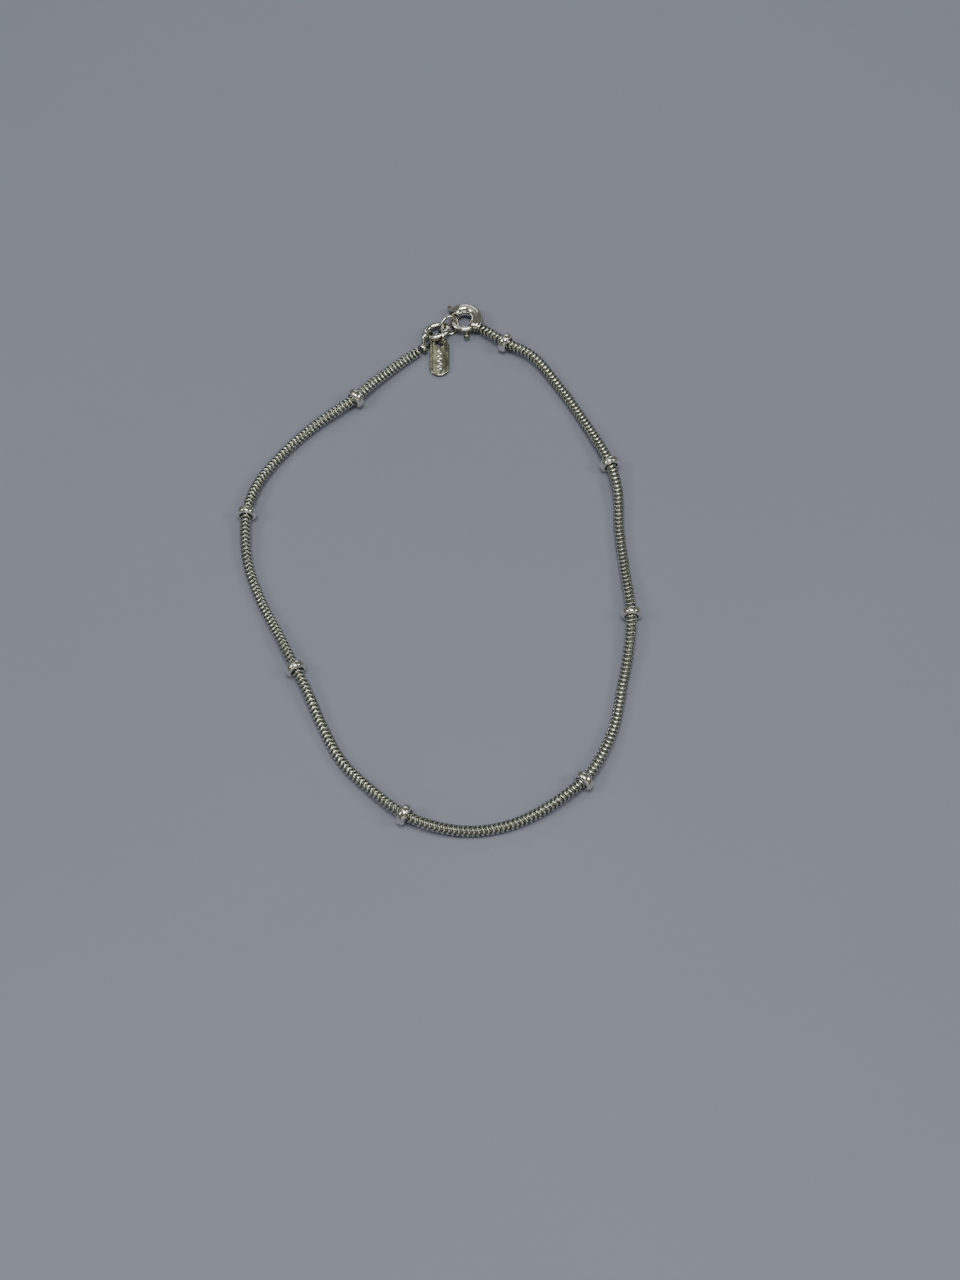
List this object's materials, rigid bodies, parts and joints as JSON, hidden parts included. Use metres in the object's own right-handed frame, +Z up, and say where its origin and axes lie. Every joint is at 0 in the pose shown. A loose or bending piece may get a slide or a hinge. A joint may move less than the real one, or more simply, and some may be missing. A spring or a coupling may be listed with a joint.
{
  "type": "bracelet",
  "caption": "Fine silver snake-chain bracelet with spaced bead rings, a spring-ring clasp and a small hanging tag, lying closed in a loop",
  "frame": {"origin": "the middle of the loop on the table under it: the centre of the bounding box's bottom face", "axes": "+Z is up from the table, the loop's shortest extent; +Y is the loop's long way, towards the clasp; +X points across the loop to the clasp's side"},
  "size_m": [0.0532, 0.0798, 0.0027],
  "materials": {
    "chain_silver": "polished silver links, a little tarnish in the grooves",
    "polished_silver": "mirror-polished silver",
    "bolt_silver": "polished silver with fine wear from sliding"
  },
  "bodies": {
    "bracelet": {"snake_chain": "chain_silver", "bead_1": "polished_silver", "bead_2": "polished_silver", "bead_3": "polished_silver", "bead_4": "polished_silver", "bead_5": "polished_silver", "bead_6": "polished_silver", "bead_7": "polished_silver", "bead_8": "polished_silver", "end_cap": "polished_silver", "clasp_ring": "polished_silver", "oval_ring": "polished_silver", "link_ring": "polished_silver", "tag_ring": "polished_silver", "tag": "polished_silver"},
    "bolt": {"clasp_bolt": "bolt_silver"}
  },
  "joints": [
    {"name": "clasp_bolt_slide", "type": "hinge", "parent": "bracelet", "child": "bolt", "pos_m": [0.00352, 0.03738, 0.00114], "axis": [0.0506, -0.0135, -0.9986], "range_deg": [0, 50], "stiffness_Nm_per_rad": 0.000002, "springref_deg": -28.65}
  ]
}
